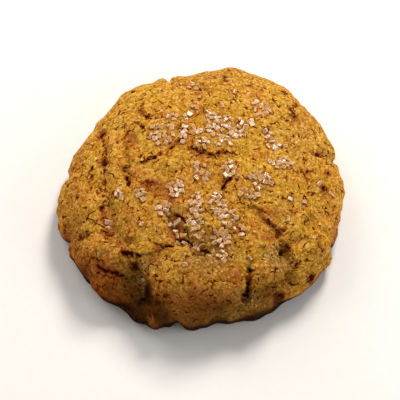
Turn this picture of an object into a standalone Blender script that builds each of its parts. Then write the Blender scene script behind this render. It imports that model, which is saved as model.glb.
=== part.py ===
"""Peanut butter cookie: a thick, domed, fork-pressed cookie with a craggy rim and coarse sugar crystals.

Blender 4.5 script, in metres, +Z up. The origin is at the centre of the flat underside, and the cookie's
front faces -Y. Sizes below are in millimetres and are turned to metres when the mesh is written.
The dough is a cube that is subdivided and cast to the cookie's turned profile, then pressed and cracked by a
height over that skin. The sugar crystals are small blocks, joined to the dough by one Boolean union.
"""

import math
import random

import bmesh
import bpy
import numpy as np
from mathutils import Matrix, Vector, noise
from mathutils.bvhtree import BVHTree

MM = 0.001

# ---- Dough: overall form -------------------------------------------------------------------------
DOME_HEIGHT = 19.5  # middle of the top above the underside
WAIST_HEIGHT = 5.5  # where the cookie is widest
BASE_SHARE = 0.955  # radius of the flat underside as a share of the waist's
DOME_FLATNESS = 2.5  # exponent across: 2 is an ellipse, more is a flatter top
DOME_FULLNESS = 1.9  # exponent up the shoulder
MEAN_RADIUS = 42.0
CENTRE = (0.36, -0.22)  # where the middle of the craggy rim's box would lie
# Waist radius by clock angle in degrees, counted anticlockwise from +X.
RIM = (
    (0, 42.0), (15, 41.5), (32, 42.0), (60, 43.3), (76, 43.3), (90, 40.2), (105, 39.5),
    (120, 40.5), (135, 39.0), (150, 38.0), (165, 39.0), (180, 41.0), (210, 42.0), (240, 43.0),
    (270, 41.5), (285, 41.0), (300, 42.0), (330, 42.5), (345, 41.0),
)
# Lobes and clefts of the rim: (clock, half width in degrees, how far out), a cleft being negative.
RIM_CRAGS = (
    (8, 4, -0.4), (14, 3.2, -3.1), (21, 5, 0.5), (44, 2.5, -1.0), (52, 5, 0.5), (73, 4, 0.6),
    (82, 6, -0.9), (95, 5, -0.7), (104.5, 2.2, -2.4), (108, 3.5, 0.8), (125, 5, 0.3), (139, 5, -0.7),
    (174, 5, -2.0), (188, 3, 0.6),
    (196, 4, 0.7), (203, 4, -2.4), (207, 3, 0.5), (222, 2, -0.6), (237, 8, -0.9), (246, 6, 0.8),
    (252.5, 4, 1.3), (261, 3.2, -2.0), (267, 4, 0.7), (277, 5, -1.0), (292, 5, 0.8),
    (306, 8, -0.8), (329, 4, 0.5), (334.5, 3.2, -2.4), (341, 4, 0.5), (356, 4, -0.7),
)
CRAG_TOP = 15.0  # height at which the rim's crags have died away

# ---- Dough: what the fork and the oven did to it ------------------------------------------------------
# Lumps and dents: (x, y, reach across, reach along, turn in degrees, height), a dent being negative.
LUMPS = (
    (1, -33, 15, 9.5, 0, 3.0),  # the big lump at the front
    (-20.3, -32.5, 6.6, 9.5, 10, -4.4),  # the valley to its left
    (-28.5, -24, 8, 6, -35, 1.6),
    (-32.5, -10, 5.5, 11, 8, 1.3),
    (-24.6, 4, 2.2, 15, 2, 0.9),  # the ridge between two tine marks
    (18.2, -29.7, 7.2, 4.4, 22, 2.4),
    (33.5, -19, 4.5, 10, -24, 1.5),
    (22.8, -24.8, 3.6, 4, 0, -1.2),
    (3.2, -18, 3.4, 3.0, 0, 1.0),
    (-5.5, -11.5, 3.4, 3.2, 0, 0.9),
    (-19.4, 10.5, 1.9, 3.6, 8, -0.9),
    (-19.8, -21.3, 2.4, 1.8, 0, -1.3),
    (-0.5, 26, 3.2, 6.5, 12, -0.7),
    (-9, 3, 9, 5, 15, 0.7),
    (15, 0, 9, 6, 0, 0.8),
    (14.5, -37, 3.2, 3, 0, 0.8),
    (-7.5, -19.5, 2.6, 4, 30, -1.3),
    (-5.5, -22.5, 3.6, 2.2, 0, -1.6),
    (-12.2, -40, 3.2, 3, 0, 1.2),
)
# Soft grooves, mostly from the fork's tines: (half width, depth, points in plan).
GROOVES = (
    (1.2, 0.9, ((-22, 16.5), (-22, 7), (-21.5, 2), (-20, -4))),
    (1.3, 0.5, ((-29, 15), (-27.5, 9), (-27.5, -2), (-25.5, -8))),
    (1.6, 1.4, ((-25.5, -9), (-25, -16), (-22.5, -22.5))),
    (1.8, 0.8, ((0.5, 5.5), (1, 1.5), (0, -3.5), (-0.5, -7))),
    (1.6, 1.5, ((-9.5, -14), (-7.5, -16.5), (-4.5, -19.5), (-2, -22.5), (2, -24))),
    (2.0, 1.4, ((21.5, -17.5), (22.5, -21), (23.5, -25))),
    (1.4, 1.4, ((33, -12.5), (30.5, -15.5), (29.5, -19), (26, -21.5))),
    (1.1, 0.8, ((34, 6), (34.5, 0), (34, -7))),
    (1.1, 1.2, ((13.6, -28), (13.1, -31.5), (12.2, -36))),
    (1.4, 1.1, ((24.2, -22.5), (24.3, -26), (24.2, -29.5))),
    (1.0, 0.7, ((-3, 33.5), (-0.5, 31.5), (2, 26.5), (2.5, 23), (0, 18.5))),
)
# Edges of pressed or torn dough, which falls away on the left of the way along them:
# (drop, run of the fall, run over which it is made up again, points in plan).
LEDGES = (
    (3.9, 2.3, 7.0, ((-12.2, -43), (-12.6, -38), (-13.6, -33.6), (-15.2, -29), (-16.4, -26))),
    (3.0, 1.5, 4.0, ((26, -27.5), (23, -30.2), (18.8, -31.9), (15, -33.7), (12.5, -36))),
    (0.25, 0.6, 2.4, ((12, 4.6), (9, 5.8), (4, 5), (0, 5.7), (-5, 7.7))),
    (0.3, 1.2, 2.8, ((-6.5, -7), (-10, -5.5), (-14, -4), (-17.5, -3))),
    (0.9, 1.0, 3.6, ((24, -19.5), (21.5, -17.5), (18.7, -14.6), (16.5, -12))),
    (0.8, 1.0, 2.6, ((19, -12.5), (15.5, -11.2), (12, -10.7))),
    (0.45, 0.6, 2.8, ((-6.5, -22.5), (-9, -23), (-12.4, -24.4), (-15.4, -25.1), (-19.7, -25), (-23.3, -23.5))),
    (0.5, 0.8, 2.0, ((-20, 24.3), (-20.5, 18), (-20.5, 12.8), (-19.5, 10.1), (-18.9, 6.5))),
)
# Cracks in the crust: (half width, depth, points in plan).
CRACKS = (
    (0.8, 1.9, ((-23, -23.5), (-19.5, -25), (-15.5, -25))),
    (0.9, 2.0, ((-12.5, -24.5), (-9, -23), (-6.5, -22.5))),
    (0.8, 1.4, ((-14.5, 3), (-11.5, 4.5), (-7.5, 6.5))),
    (0.8, 1.6, ((9.6, 2), (9, -2.4), (6.5, -5), (5.5, -7))),
    (0.9, 2.0, ((-7.5, -21), (-3, -22.3), (-1, -24), (3, -25.6))),
    (0.7, 1.2, ((-7, -13.4), (-5, -15), (-3, -16.8))),
    (0.6, 1.2, ((-17, 22.5), (-16.5, 20.5), (-15, 18.5))),
    (0.6, 1.2, ((-18, 17), (-16.5, 15.5))),
    (0.7, 1.0, ((-6.5, 12.5), (-5, 15), (-3.5, 13.5))),
    (0.7, 0.9, ((6.5, 36.5), (8.5, 32))),
    (0.6, 0.9, ((17.5, 29), (20, 31))),
    (0.8, 1.8, ((30, 7.5), (33, 7.5), (36, 8.5), (39, 9.5))),
    (0.65, 1.1, ((-5, 7.7), (-1.4, 6.4), (0, 5.7), (3.7, 5), (9.2, 5.8), (11.7, 4.6))),
    (0.8, 1.7, ((14.1, -28.2), (13.6, -31.5), (12.6, -34.5), (13, -36.3))),
    (0.6, 1.0, ((18.7, -14.6), (21.5, -17.5), (23.4, -18.1))),
    (0.6, 1.0, ((-29, 15), (-27.7, 9.8), (-27.5, 3.3), (-27.2, -1.9), (-26.2, -5.2), (-25, -7.9))),
    (0.6, 0.8, ((29, 0.5), (30.5, 1.7), (33, 1))),
    (0.6, 0.9, ((-28, -17), (-24, -18.5))),
    (0.7, 1.1, ((-33, -19), (-31, -16.5))),
    (0.9, 1.9, ((-29, -26), (-25, -29), (-22, -30.5))),
    (0.6, 1.2, ((24.5, -11.5), (29, -11.2))),
    (0.7, 1.2, ((10.5, -18), (13.5, -20))),
    (0.9, 1.7, ((-19, -37), (-13, -37.3))),
    (0.8, 1.3, ((28.8, 27.6), (26.5, 24), (27.5, 20.5))),
)
# Pits left by burst bubbles: (x, y, radius, depth).
PITS = (
    (-28.8, 15.2, 1.2, 1.8), (-27.5, 4, 1.1, 1.2), (-21.6, 1.5, 0.9, 1.4), (27.2, 20.3, 1.1, 1.6),
    (25.2, -21.8, 0.7, 0.9), (23.5, -24, 0.7, 0.9), (27, -26.5, 0.7, 1.1),
    (31.4, -28.2, 1.3, 1.8), (22.8, -34.6, 1.3, 1.7), (24, -29.2, 0.7, 0.9), (12.6, -35.8, 1.0, 1.6),
    (-17.8, -38, 1.1, 1.6), (37, 2.5, 0.9, 1.1),
    (35.7, -2.8, 1.0, 1.2), (11.5, 15, 0.9, 1.2), (-18.5, -28, 1.1, 1.2), (19.5, 14, 0.8, 1.0),
)
RAGGED = 0.9  # how far the dough's grain pushes an edge of a crack aside
RAGGED_SIZE = 3.2  # length of that waver
WAVE_HEIGHT, WAVE_SIZE = 0.50, 11.0  # broad unevenness of the dough
CRUMB_HEIGHT, CRUMB_SIZE = 0.16, 3.4  # its coarse crumb
RIM_CRUMB_HEIGHT, RIM_CRUMB_SIZE = 0.50, 4.6  # the rougher crumb of the rim
RIM_CRUMB_TOP = (4.0, 13.0)  # heights between which that dies away

# ---- Sugar ---------------------------------------------------------------------------------------------
# Where the sugar lies: (x, y, reach across, reach along, crystals).
SUGAR_PATCHES = (
    (-1.8, 31, 1.8, 2, 4), (-0.6, 25.3, 1, 1, 1), (-1.8, 21.3, 1, 1, 2), (-6.4, 18.8, 3.8, 1.7, 7),
    (-10.9, 12.4, 3.4, 3.8, 16), (-4.6, 11.8, 1.1, 2.7, 7), (-1.2, 13.2, 1.6, 1.2, 4),
    (6.3, 14.2, 3.8, 3.8, 24), (11.5, 13.4, 2, 3.4, 9), (3.4, 18.1, 2.2, 1.8, 7),
    (0.3, 8.6, 2.2, 1.3, 8), (6.6, 8.9, 2.2, 1.1, 5), (17.7, 21.3, 2.6, 3.6, 11),
    (15, 16.5, 1.4, 1.2, 4), (19.6, 13, 1.4, 1.2, 4), (21.2, 9, 1.8, 1.5, 5), (22.7, 3.1, 3.5, 1.8, 10),
    (17.2, -3, 2.8, 2.1, 12), (14.3, -7, 3.6, 1.5, 9), (8.2, -0.2, 1.6, 2.5, 10), (0.6, -0.2, 2.1, 3.4, 8),
    (-6.7, -6, 2.1, 2.5, 11), (-16.8, -7.4, 1.3, 1.5, 5), (-22.5, -7.2, 1.3, 1.5, 4),
    (-9.8, -12.6, 2.2, 1.7, 6), (-1.1, -11.2, 1.6, 3.7, 12), (5, -10.3, 1.9, 3.3, 16),
    (7.8, -14.8, 2.4, 2, 14), (-1.7, -16.4, 2.4, 2, 15), (-0.8, -21.3, 1.9, 2.8, 14),
    (5.9, -21.5, 2.4, 2.7, 14), (-5.3, -20.4, 1.6, 1.6, 6), (-7.3, -16.9, 1.6, 1.7, 5),
    (6.1, -26.4, 1.3, 1.5, 5), (10.8, -18.5, 1.9, 1.4, 5), (24.7, -14.3, 0.7, 0.6, 2),
    (38.2, -3.7, 0.8, 0.6, 2), (-15.9, -28.8, 0.7, 0.5, 2), (-25.8, -14.9, 0.9, 1.2, 3),
    (6.3, 22.1, 0.3, 0.3, 1), (10.3, 27.5, 0.3, 0.3, 1), (33.7, -1.8, 0.3, 0.3, 1),
    (25.5, -7.9, 0.3, 0.3, 1), (29.5, -8.3, 0.3, 0.3, 1), (-16.4, -16.3, 0.3, 0.3, 1),
    (-4.1, -28.6, 0.3, 0.3, 1), (13.6, -25.9, 0.3, 0.3, 1), (24.4, 9.1, 0.4, 0.4, 1),
)
SUGAR_SEED = 7
CRYSTAL = (1.35, 1.05, 0.65)  # a middling crystal's length, width and height
CRYSTAL_SPREAD = 0.32  # how much one differs from another
CRYSTAL_SUNK = 0.5  # share of its height that sits in the dough
CRYSTAL_TILT = 16.0  # degrees
CRYSTAL_GAP = 0.85  # nearest two may be, as a share of their mean length
SCATTER = 1.05  # how far a patch's crystals stray beyond its reach
FUSED_CRYSTALS = 130  # the largest, which are joined to the dough

# ---- Mesh ------------------------------------------------------------------------------------------------
CUBE_LEVELS = 6  # times that the starting cube is subdivided
UNDERSIDE_LATITUDE = 125.0  # degrees from the top at which the cast cube reaches the underside's edge
DOUGH_TRIANGLES = 7000


def empty_scene():
    for obj in list(bpy.data.objects):
        bpy.data.objects.remove(obj)


def baked_crust():
    """Golden-brown baked dough: matt, with no metal in it."""
    crust = bpy.data.materials.new("baked_crust")
    crust.use_nodes = True
    shader = crust.node_tree.nodes["Principled BSDF"]
    shader.inputs["Base Color"].default_value = (0.47, 0.21, 0.045, 1)
    shader.inputs["Roughness"].default_value = 0.8
    shader.inputs["Metallic"].default_value = 0.0
    return crust


def smooth_ring(stations, clock):
    """A closed smooth curve through (clock angle, value) stations, read at the clock angles."""
    angle = np.array([a for a, _ in stations], float)
    value = np.array([v for _, v in stations], float)
    angle = np.concatenate([angle[-2:] - 360, angle, angle[:3] + 360])
    value = np.concatenate([value[-2:], value, value[:3]])
    clock = np.mod(clock, 360.0)
    i = np.searchsorted(angle, clock, side="right") - 1
    span = angle[i + 1] - angle[i]
    t = (clock - angle[i]) / span
    start = (value[i + 1] - value[i - 1]) / (angle[i + 1] - angle[i - 1]) * span
    end = (value[i + 2] - value[i]) / (angle[i + 2] - angle[i]) * span
    return (
        (2 * t**3 - 3 * t**2 + 1) * value[i]
        + (t**3 - 2 * t**2 + t) * start
        + (3 * t**2 - 2 * t**3) * value[i + 1]
        + (t**3 - t**2) * end
    )


def bell(distance):
    """1 at no distance, 0 from 1 on, with a smooth fall between."""
    return np.clip(1 - distance**2, 0, None) ** 2


def step(low, high, value):
    """0 below low, 1 above high, smooth between."""
    t = np.clip((value - low) / (high - low), 0, 1)
    return t * t * (3 - 2 * t)


def turned_profile():
    """(share of the waist radius, height, share of the way) from the top's middle to the underside's edge."""
    up = np.linspace(0, math.pi / 2, 300)
    share = np.sin(up) ** (2 / DOME_FLATNESS)
    height = WAIST_HEIGHT + (DOME_HEIGHT - WAIST_HEIGHT) * np.clip(np.cos(up), 0, 1) ** (2 / DOME_FULLNESS)
    under = np.linspace(0, math.pi / 2, 80)[1:]
    share = np.append(share, BASE_SHARE + (1 - BASE_SHARE) * np.clip(np.cos(under), 0, 1) ** 0.8)
    height = np.append(height, WAIST_HEIGHT * (1 - np.sin(under)))
    way = np.append(0, np.cumsum(np.hypot(np.diff(share) * MEAN_RADIUS, np.diff(height))))
    return share, height, way / way[-1]


SHARE, HEIGHT, WAY = turned_profile()


def dough_skin(direction):
    """The plain dough under its relief: a unit direction from the middle of a ball is led to the profile."""
    latitude = np.degrees(np.arccos(np.clip(direction[:, 2], -1, 1)))
    clock = np.degrees(np.arctan2(direction[:, 1], direction[:, 0]))
    way = np.clip(latitude / UNDERSIDE_LATITUDE, 0, 1)
    share = np.interp(way, WAY, SHARE)
    height = np.interp(way, WAY, HEIGHT)
    inward = np.clip((180 - latitude) / (180 - UNDERSIDE_LATITUDE), 0, 1)
    share = share * inward
    radius = smooth_ring(RIM, clock)
    crag = np.zeros(len(clock))
    for at, half_width, out in RIM_CRAGS:
        crag += out * bell(((clock - at + 180) % 360 - 180) / half_width)
    fade = np.clip(1 - height / CRAG_TOP, 0, 1) ** 0.5
    radius = (radius + crag * fade) * share
    turn = np.radians(clock)
    return np.stack([radius * np.cos(turn), radius * np.sin(turn), height], 1)


def skin_height(x, y):
    """Height of the plain dome over a point in plan."""
    share = math.hypot(x, y) / float(smooth_ring(RIM, np.array([math.degrees(math.atan2(y, x))]))[0])
    above = WAY <= WAY[np.argmax(SHARE)]
    return float(np.interp(min(share, 1.0), SHARE[above], HEIGHT[above]))


def line_distance(points, line):
    """Each point's distance from a line drawn on the dome, share of the line, and side (1 is the left)."""
    stops = np.array([(x, y, skin_height(x, y)) for x, y in line])
    runs = np.linalg.norm(np.diff(stops, axis=0), axis=1)
    best, share, side = np.full(len(points), 1e9), np.zeros(len(points)), np.zeros(len(points))
    done = 0.0
    for start, end, run in zip(stops[:-1], stops[1:], runs):
        way, off = end - start, points - start
        along = np.clip(off @ way / run**2, 0, 1)
        distance = np.linalg.norm(off - along[:, None] * way, axis=1)
        nearer = distance < best
        best[nearer] = distance[nearer]
        share[nearer] = (done + along[nearer] * run) / runs.sum()
        side[nearer] = np.sign(way[0] * off[nearer, 1] - way[1] * off[nearer, 0])
        done += run
    return best, share, side


def noise_field(points, size, octaves, offset):
    """Fractal noise of about -1 to 1, with a longest wave of the given size."""
    shift = Vector(offset)
    return np.array([noise.fractal(Vector(p) / size + shift, 0.9, 2.0, octaves) for p in points])


def wavered(points):
    """The points pushed aside by the dough's grain, so that a line measured from them has ragged edges."""
    push = [noise_field(points, RAGGED_SIZE, 1, (axis * 17.3, 4.1, 8.9)) for axis in range(3)]
    return points + RAGGED * np.stack(push, 1)


def relief(points):
    """How far the finished dough stands out from the plain skin at each point, in millimetres."""
    out = WAVE_HEIGHT * noise_field(points, WAVE_SIZE, 3, (3.1, 7.7, 1.3))
    for x, y, across, along, turn, height in LUMPS:
        c, s = math.cos(math.radians(turn)), math.sin(math.radians(turn))
        dx, dy = points[:, 0] - x, points[:, 1] - y
        dz = (points[:, 2] - skin_height(x, y)) / (across + along)
        dx, dy = (dx * c + dy * s) / across, (dy * c - dx * s) / along
        out += height * bell(np.sqrt(dx**2 + dy**2 + dz**2))
    ragged = wavered(points)
    for half_width, depth, line in GROOVES:
        distance, share, _ = line_distance(ragged, line)
        ends = np.clip(6 * np.minimum(share, 1 - share) + 0.35, 0, 1)
        out -= depth * ends * np.exp(-((distance / half_width) ** 2))
    for drop, fall, run, line in LEDGES:
        distance, share, side = line_distance(ragged, line)
        ends = step(0, 0.2, np.minimum(share, 1 - share))
        out -= drop * ends * (side > 0) * step(0, fall, distance) * np.exp(-((distance / run) ** 2))
    for half_width, depth, line in CRACKS:
        distance, share, _ = line_distance(ragged, line)
        ends = np.clip(6 * np.minimum(share, 1 - share) + 0.5, 0, 1)
        out -= depth * bell(distance / (half_width * ends * 1.5))
    for x, y, radius, depth in PITS:
        distance = np.linalg.norm(ragged - (x, y, skin_height(x, y)), axis=1)
        out -= depth * bell(distance / (1.3 * radius))
    rim = RIM_CRUMB_HEIGHT * (1 - step(*RIM_CRUMB_TOP, points[:, 2]))
    out += rim * noise_field(points, RIM_CRUMB_SIZE, 2, (6.2, 3.9, 0.7))
    return out + CRUMB_HEIGHT * noise_field(points, CRUMB_SIZE, 2, (9.4, 2.2, 5.8))


def dough(name):
    """The cookie without its sugar."""
    bpy.ops.mesh.primitive_cube_add(size=2)
    body = bpy.context.object
    body.name = name
    levels = body.modifiers.new("even_squares", "SUBSURF")
    levels.subdivision_type = "SIMPLE"
    levels.levels = levels.render_levels = CUBE_LEVELS
    bpy.ops.object.modifier_apply(modifier=levels.name)
    mesh = body.data

    corner = np.empty(len(mesh.vertices) * 3)
    mesh.vertices.foreach_get("co", corner)
    ball = np.tan(corner.reshape(-1, 3) * math.pi / 4)  # squares of even size once cast to a ball
    ball /= np.linalg.norm(ball, axis=1)[:, None]
    skin = dough_skin(ball)
    mesh.vertices.foreach_set("co", skin.ravel())
    mesh.update()

    outward = np.empty(len(skin) * 3)
    mesh.vertices.foreach_get("normal", outward)
    outward = outward.reshape(-1, 3)
    height = relief(skin)
    height *= np.clip(skin[:, 2] / WAIST_HEIGHT, 0, 1)  # the underside lay on the tray and is flat
    outward[skin[:, 2] < WAIST_HEIGHT, 2] = 0
    skin = skin + outward * height[:, None]
    skin[:, :2] -= CENTRE
    skin[:, 2] = np.clip(skin[:, 2], 0, None)
    mesh.vertices.foreach_set("co", (skin * MM).ravel())
    mesh.update()

    fewer = body.modifiers.new("fewer_faces", "DECIMATE")
    fewer.ratio = DOUGH_TRIANGLES / (2 * len(mesh.polygons))
    bpy.ops.object.modifier_apply(modifier=fewer.name)
    return body


def sugar_crystals(body):
    """(place, outward direction, spin, size) of every crystal on the dough, the largest first."""
    draw = random.Random(SUGAR_SEED)
    ground = BVHTree.FromObject(body, bpy.context.evaluated_depsgraph_get())
    laid = []
    for x, y, across, along, count in SUGAR_PATCHES:
        for _ in range(count):
            size = [edge * draw.uniform(1 - CRYSTAL_SPREAD, 1 + CRYSTAL_SPREAD) for edge in CRYSTAL]
            for _ in range(12):
                reach, turn = SCATTER * math.sqrt(draw.random()), draw.uniform(0, math.tau)
                px = x - CENTRE[0] + across * reach * math.cos(turn)
                py = y - CENTRE[1] + along * reach * math.sin(turn)
                clear = all(
                    math.hypot(px - qx, py - qy) > CRYSTAL_GAP * (size[0] + other[0]) / 2
                    for qx, qy, other in laid
                )
                if clear:
                    break
            else:
                continue
            laid.append((px, py, size))
    crystals = []
    for px, py, size in laid:
        place, outward, _, _ = ground.ray_cast(Vector((px, py, 50)) * MM, Vector((0, 0, -1)))
        tilt = [math.tan(math.radians(CRYSTAL_TILT)) * draw.uniform(-1, 1) for _ in range(2)]
        outward = (outward + Vector((tilt[0], tilt[1], 0))).normalized()
        crystals.append((place, outward, draw.uniform(0, math.tau), size))
    crystals.sort(key=lambda crystal: -crystal[3][0] * crystal[3][1])
    return crystals


def crystal_block(collection, place, outward, spin, size):
    """One sugar crystal: a small block, part sunk in the dough."""
    mesh = bpy.data.meshes.new("crystal")
    shape = bmesh.new()
    bmesh.ops.create_cube(shape, size=1)
    bmesh.ops.scale(shape, vec=size, verts=shape.verts)
    bmesh.ops.translate(shape, vec=(0, 0, size[2] * (0.5 - CRYSTAL_SUNK)), verts=shape.verts)
    shape.to_mesh(mesh)
    shape.free()
    block = bpy.data.objects.new("crystal", mesh)
    stand = outward.to_track_quat("Z", "Y").to_matrix().to_4x4()
    mesh.transform(Matrix.Translation(place) @ stand @ Matrix.Rotation(spin, 4, "Z") @ Matrix.Scale(MM, 4))
    collection.objects.link(block)


def fuse_sugar(body):
    """Joins the largest crystals to the dough, so that the cookie is one solid."""
    blocks = bpy.data.collections.new("sugar")
    bpy.context.scene.collection.children.link(blocks)
    for crystal in sugar_crystals(body)[:FUSED_CRYSTALS]:
        crystal_block(blocks, *crystal)
    join = body.modifiers.new("sugar_on_dough", "BOOLEAN")
    join.operation = "UNION"
    join.operand_type = "COLLECTION"
    join.collection = blocks
    join.solver = "EXACT"
    bpy.context.view_layer.objects.active = body
    bpy.ops.object.modifier_apply(modifier=join.name)
    for block in list(blocks.objects):
        bpy.data.objects.remove(block)
    bpy.data.collections.remove(blocks)


def keep_outer_shell(body):
    """Drops every shell but the largest: a hollow sealed between crystals is filled, a loose scrap goes."""
    shape = bmesh.new()
    shape.from_mesh(body.data)
    left = set(shape.verts)
    shells = []
    while left:
        shell, front = set(), [left.pop()]
        while front:
            point = front.pop()
            shell.add(point)
            for edge in point.link_edges:
                other = edge.other_vert(point)
                if other in left:
                    left.remove(other)
                    front.append(other)
        shells.append(shell)
    shells.sort(key=len)
    for shell in shells[:-1]:
        bmesh.ops.delete(shape, geom=list(shell), context="VERTS")
    shape.to_mesh(body.data)
    shape.free()


def main():
    empty_scene()
    cookie = dough("cookie")
    fuse_sugar(cookie)
    keep_outer_shell(cookie)
    cookie.data.materials.append(baked_crust())
    parts = bpy.data.collections.new("peanut_butter_cookie")
    bpy.context.scene.collection.children.link(parts)
    for home in list(cookie.users_collection):
        home.objects.unlink(cookie)
    parts.objects.link(cookie)
    box = [cookie.matrix_world @ Vector(corner) / MM for corner in cookie.bound_box]
    low = [min(corner[i] for corner in box) for i in range(3)]
    high = [max(corner[i] for corner in box) for i in range(3)]
    print("cookie box, mm:", [round(v, 2) for v in low], [round(v, 2) for v in high])
    cookie.data.calc_loop_triangles()
    print("cookie triangles:", len(cookie.data.loop_triangles))


main()
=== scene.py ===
"""A thick, fork-pressed peanut butter cookie with coarse sugar baked on, on a plain pale floor.

Blender 4.5, metres, +Z up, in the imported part's own frame. The dough is a fine mesh with the solid's form,
and with the crumb, pores and hairline cracks that are too fine for the solid. The sugar is one mesh of small
crystals. Sizes are in millimetres unless a comment says otherwise, and are turned to metres when a mesh is
written. The tables of the dough and the sugar give places in plan from the middle of the turned dome, with
+X to the right and -Y to the front.
"""

import math
import random

import bpy
import numpy as np
from mathutils import Matrix, Vector, noise
from mathutils.bvhtree import BVHTree
from mathutils.kdtree import KDTree


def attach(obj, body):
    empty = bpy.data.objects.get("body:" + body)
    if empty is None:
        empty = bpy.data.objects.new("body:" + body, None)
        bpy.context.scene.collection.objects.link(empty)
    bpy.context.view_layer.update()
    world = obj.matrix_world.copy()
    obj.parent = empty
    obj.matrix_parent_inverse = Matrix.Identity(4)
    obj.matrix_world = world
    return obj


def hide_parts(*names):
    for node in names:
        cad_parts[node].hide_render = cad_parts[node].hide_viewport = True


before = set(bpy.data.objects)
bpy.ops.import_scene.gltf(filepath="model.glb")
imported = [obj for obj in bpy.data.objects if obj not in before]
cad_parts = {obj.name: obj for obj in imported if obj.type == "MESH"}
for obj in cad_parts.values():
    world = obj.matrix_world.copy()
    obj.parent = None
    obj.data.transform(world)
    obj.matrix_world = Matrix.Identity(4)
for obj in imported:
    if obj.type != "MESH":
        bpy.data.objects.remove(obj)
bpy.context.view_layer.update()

MM = 0.001

# ---- Camera, light and floor -----------------------------------------------------------------------------
CAMERA_ELEVATION = 62.0  # degrees above level, looking towards +Y
CAMERA_DISTANCE = 420.0
CAMERA_TARGET = (-0.36, 0.22, 1.0)
CAMERA_LENS, CAMERA_SENSOR = 128.5, 36.0
CAMERA_NEAR = 10.0  # nothing nearer than this is drawn
# Soft boxes: (name, place in metres, side in metres, power in watts, colour).
SOFT_BOXES = (
    ("key", (0.21, 0.51, 0.50), 0.22, 5.15, "#FFF8EE"),
    ("fill", (-0.40, 0.40, 0.40), 0.50, 1.95, "#FFFBF6"),
    ("left", (-0.55, -0.15, 0.25), 0.40, 0.6, "#FFE4CC"),
    ("right", (0.55, -0.15, 0.25), 0.40, 1.3, "#FFFFFF"),
)
LIGHT_TARGET = (0, 0, 0.01)  # metres, the middle of the cookie
STUDIO_GLOW, STUDIO_GLOW_STRENGTH = "#FAFAFA", 0.22  # light from all round
FLOOR_SIDE = 3.0  # metres

# ---- Dough: overall form, as the solid has it ------------------------------------------------------------
DOME_HEIGHT = 19.5  # middle of the top above the underside
WAIST_HEIGHT = 5.5  # where the cookie is widest
BASE_SHARE = 0.955  # radius of the flat underside as a share of the waist's
DOME_FLATNESS = 2.5  # exponent across: 2 is an ellipse, more is a flatter top
DOME_FULLNESS = 1.9  # exponent up the shoulder
FLANK_FULLNESS = 0.8  # exponent of the tuck from the waist to the underside
PROFILE_STEPS = (300, 80)  # over the dome, and from the waist down
MEAN_RADIUS = 42.0
CENTRE = (0.36, -0.22)  # the middle of the craggy rim's box in plan, which is moved to the origin
# Waist radius by clock angle in degrees, counted anticlockwise from +X.
RIM = (
    (0, 42.0), (15, 41.5), (32, 42.0), (60, 43.3), (76, 43.3), (90, 40.2), (105, 39.5),
    (120, 40.5), (135, 39.0), (150, 38.0), (165, 39.0), (180, 41.0), (210, 42.0), (240, 43.0),
    (270, 41.5), (285, 41.0), (300, 42.0), (330, 42.5), (345, 41.0),
)
# Lobes and clefts of the rim: (clock, half width in degrees, how far out), a cleft being negative.
RIM_CRAGS = (
    (8, 4, -0.4), (14, 3.2, -3.1), (21, 5, 0.5), (44, 2.5, -1.0), (52, 5, 0.5), (73, 4, 0.6),
    (82, 6, -0.9), (95, 5, -0.7), (104.5, 2.2, -2.4), (108, 3.5, 0.8), (125, 5, 0.3), (139, 5, -0.7),
    (174, 5, -2.0), (188, 3, 0.6), (196, 4, 0.7), (203, 4, -2.4), (207, 3, 0.5), (222, 2, -0.6),
    (237, 8, -0.9), (246, 6, 0.8), (252.5, 4, 1.3), (261, 3.2, -2.0), (267, 4, 0.7), (277, 5, -1.0),
    (292, 5, 0.8), (306, 8, -0.8), (329, 4, 0.5), (334.5, 3.2, -2.4), (341, 4, 0.5), (356, 4, -0.7),
)
CRAG_TOP = 15.0  # height at which the rim's crags have died away
CRAG_FADE = 0.5  # exponent of that: under 1, they stay strong up the flank

# ---- Dough: what the fork and the oven did to it ---------------------------------------------------------
# Lumps and dents: (x, y, reach across, reach along, turn in degrees, height), a dent being negative.
LUMPS = (
    (1, -33, 15, 9.5, 0, 3.0),  # the big lump at the front
    (-20.3, -32.5, 6.6, 9.5, 10, -4.4),  # the valley to its left
    (-28.5, -24, 8, 6, -35, 1.6),  # the shoulder on the valley's other side
    (-32.5, -10, 5.5, 11, 8, 1.3),
    (-24.6, 4, 2.2, 15, 2, 0.9),  # the ridge between two tine marks
    (18.2, -29.7, 7.2, 4.4, 22, 2.4),  # the torn lip to the right of the big lump
    (33.5, -19, 4.5, 10, -24, 1.5),
    (22.8, -24.8, 3.6, 4, 0, -1.2),
    (3.2, -18, 3.4, 3.0, 0, 1.0),
    (-5.5, -11.5, 3.4, 3.2, 0, 0.9),
    (-19.4, 10.5, 1.9, 3.6, 8, -0.9),
    (-19.8, -21.3, 2.4, 1.8, 0, -1.3),
    (-0.5, 26, 3.2, 6.5, 12, -0.7),
    (-9, 3, 9, 5, 15, 0.7),
    (15, 0, 9, 6, 0, 0.8),
    (14.5, -37, 3.2, 3, 0, 0.8),
    (-7.5, -19.5, 2.6, 4, 30, -1.3),
    (-5.5, -22.5, 3.6, 2.2, 0, -1.6),
    (-12.2, -40, 3.2, 3, 0, 1.2),
)
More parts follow.
